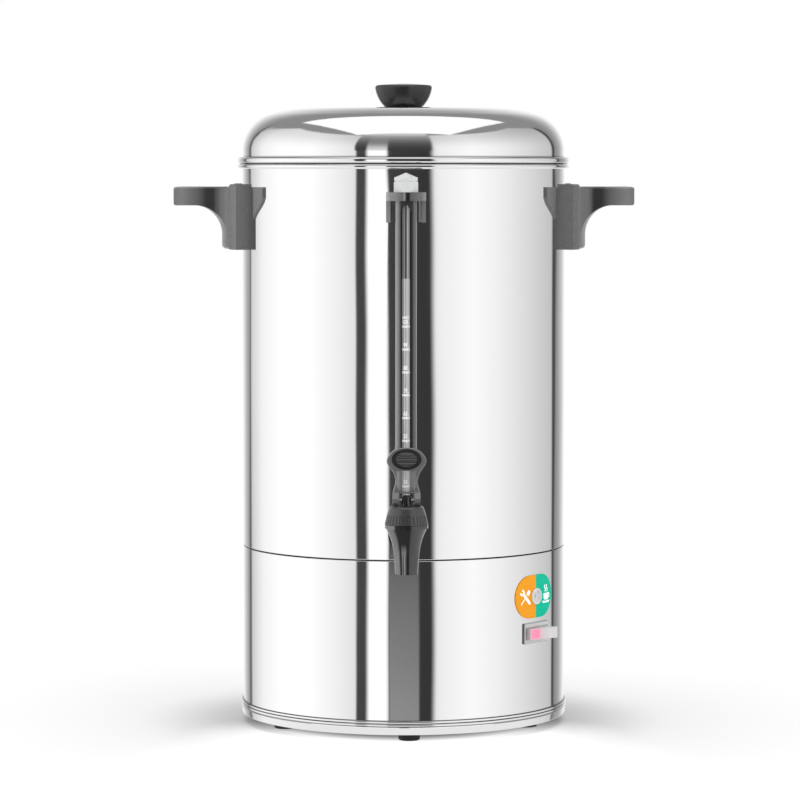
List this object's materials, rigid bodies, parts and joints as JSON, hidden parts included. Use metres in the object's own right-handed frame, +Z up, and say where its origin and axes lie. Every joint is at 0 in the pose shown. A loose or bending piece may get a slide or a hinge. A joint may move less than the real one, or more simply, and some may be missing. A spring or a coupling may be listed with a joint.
{
  "type": "hot water urn",
  "caption": "Cylindrical polished steel hot water urn with a domed lift-off lid, side handles, a lever tap, a sight gauge and a lit rocker switch.",
  "frame": {"origin": "on the floor, where the urn's axis meets the plane of the feet", "axes": "+Z up along the urn, -Y towards the tap, +X to the right of the tap as seen from the front"},
  "size_m": [0.3772, 0.3294, 0.5289],
  "materials": {
    "polished_steel": "mirror polished stainless steel",
    "inner_steel": "satin",
    "bakelite": "black phenolic, semi-gloss",
    "fastener_steel": "zinc or stainless fasteners",
    "brass": "machined",
    "tap_black": "black moulded plastic, glossy",
    "button_chrome": "polished chrome plate",
    "foot_rubber": "black rubber",
    "silicone": "food-grade silicone",
    "lever_black": "black moulded plastic",
    "smoky_window": "smoky translucent plastic",
    "clear_tube": "clear borosilicate",
    "guard_black": "black",
    "cap_white": "translucent white",
    "indicator": "two-colour printed plate",
    "housing_white": "white",
    "switch_grey": "silver grey",
    "rocker_pink": "translucent, lit",
    "inlet_black": "black",
    "bare_aluminium": "mill finish",
    "wire_sleeve": "silicone-covered wire"
  },
  "bodies": {
    "urn": {"base_pan": "polished_steel", "base_skirt": "polished_steel", "bracket_screws": "fastener_steel", "button_housing": "housing_white", "button_nut": "inlet_black", "clamp_nut": "fastener_steel", "element_clamp": "inner_steel", "foot_1": "foot_rubber", "foot_2": "foot_rubber", "foot_3": "foot_rubber", "foot_4": "foot_rubber", "foot_5": "foot_rubber", "foot_screws": "fastener_steel", "gauge_seal": "silicone", "handle_left": "bakelite", "handle_right": "bakelite", "handle_screws": "fastener_steel", "handle_washers": "fastener_steel", "heat_plate": "bare_aluminium", "heat_shield": "bare_aluminium", "heating_element": "inner_steel", "indicator_plate": "indicator", "inlet_body": "inlet_black", "inlet_pins": "brass", "inlet_screws": "fastener_steel", "sensor_strap": "inner_steel", "sight_tube": "clear_tube", "switch_housing": "switch_grey", "switch_terminals": "brass", "tap_body": "tap_black", "tap_bonnet": "tap_black", "tap_gasket_inner": "silicone", "tap_gasket_outer": "silicone", "tap_nut": "brass", "tap_spring": "inner_steel", "thermal_cutout": "bare_aluminium", "thermostat": "bare_aluminium", "tie_nuts": "fastener_steel", "tie_rods": "inner_steel", "tube_bracket": "guard_black", "tube_cap": "cap_white", "tube_guard": "guard_black", "vessel": "polished_steel", "wiring": "wire_sleeve"},
    "lid": {"lid_shell": "polished_steel", "lid_ring": "inner_steel", "lid_knob": "bakelite", "knob_insert": "brass", "knob_screw": "fastener_steel", "knob_washer": "fastener_steel"},
    "stem": {"tap_stem": "tap_black", "tap_seat": "silicone"},
    "lever": {"tap_lever": "lever_black", "lever_window": "smoky_window", "lever_pin": "fastener_steel"},
    "rocker": {"switch_rocker": "rocker_pink"},
    "button": {"reset_button": "button_chrome"}
  },
  "joints": [
    {"name": "lid_lift", "type": "slide", "parent": "urn", "child": "lid", "axis": [0, 0, 1], "range_m": [0, 0.12]},
    {"name": "stem_lift", "type": "slide", "parent": "urn", "child": "stem", "axis": [0, 0, 1], "range_m": [0, 0.004], "stiffness_N_per_m": 200, "springref_m": -0.004, "deforming": ["tap_spring"]},
    {"name": "lever_tilt", "type": "hinge", "parent": "stem", "child": "lever", "pos_m": [0, -0.174, 0.2], "axis": [1, 0, 0], "range_deg": [0, 60]},
    {"name": "switch_rock", "type": "hinge", "parent": "urn", "child": "rocker", "pos_m": [0.10563, -0.08164, 0.0834], "axis": [0, 0, 1], "range_deg": [0, 30]},
    {"name": "button_press", "type": "slide", "parent": "urn", "child": "button", "axis": [-0.7923, 0.6101, 0], "range_m": [0, 0.0015], "stiffness_N_per_m": 900, "springref_m": -0.001}
  ],
  "couplings": [
    {"joint": "lever_tilt", "follows": "stem_lift", "rad_per_m": 261.79}
  ]
}
